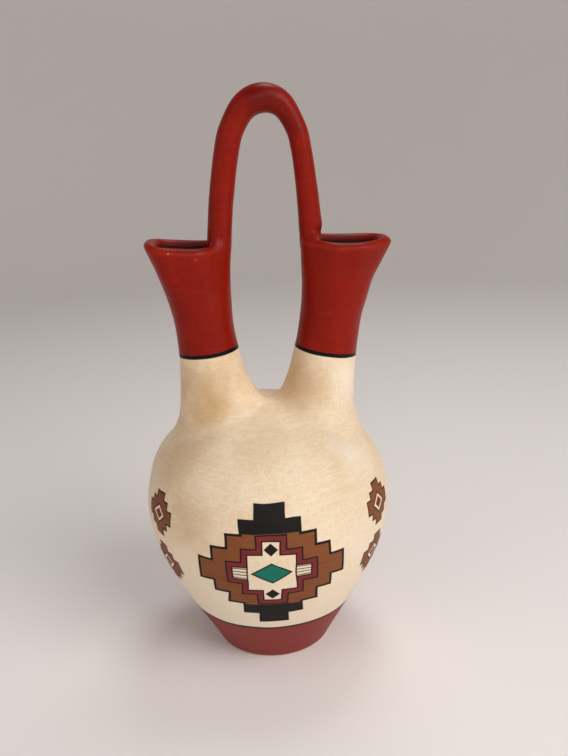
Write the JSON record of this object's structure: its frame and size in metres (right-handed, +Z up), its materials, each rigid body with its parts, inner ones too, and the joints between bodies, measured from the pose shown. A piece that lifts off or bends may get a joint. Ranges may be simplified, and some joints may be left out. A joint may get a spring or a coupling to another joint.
{
  "type": "wedding vase",
  "caption": "Round coil-built ceramic jar with paired necks and flaring spouts, joined above by an arched handle, for water or dry stems.",
  "frame": {"origin": "centre of the flat foot, on the surface that the vase stands on", "axes": "+Z up to the handle, +X along the line of the spouts towards the wider one, -Y the front"},
  "size_m": [0.1254, 0.1232, 0.28],
  "materials": {
    "red_slip": "stone-polished satin red slip",
    "cream_slip": "stone-polished satin cream slip with mineral paint"
  },
  "bodies": {
    "root": {"base_bowl": "red_slip", "left_spout_lower": "red_slip", "left_spout_upper": "red_slip", "left_lip": "red_slip", "left_handle_luting": "red_slip", "right_spout_lower": "red_slip", "right_spout_upper": "red_slip", "right_lip": "red_slip", "right_handle_luting": "red_slip", "handle": "red_slip", "body_coil_1": "cream_slip", "body_coil_2": "cream_slip", "body_coil_3": "cream_slip", "body_coil_4": "cream_slip", "shoulder_cap": "cream_slip", "left_neck_root": "cream_slip", "left_neck_coil": "cream_slip", "right_neck_root": "cream_slip", "right_neck_coil": "cream_slip"}
  },
  "joints": []
}
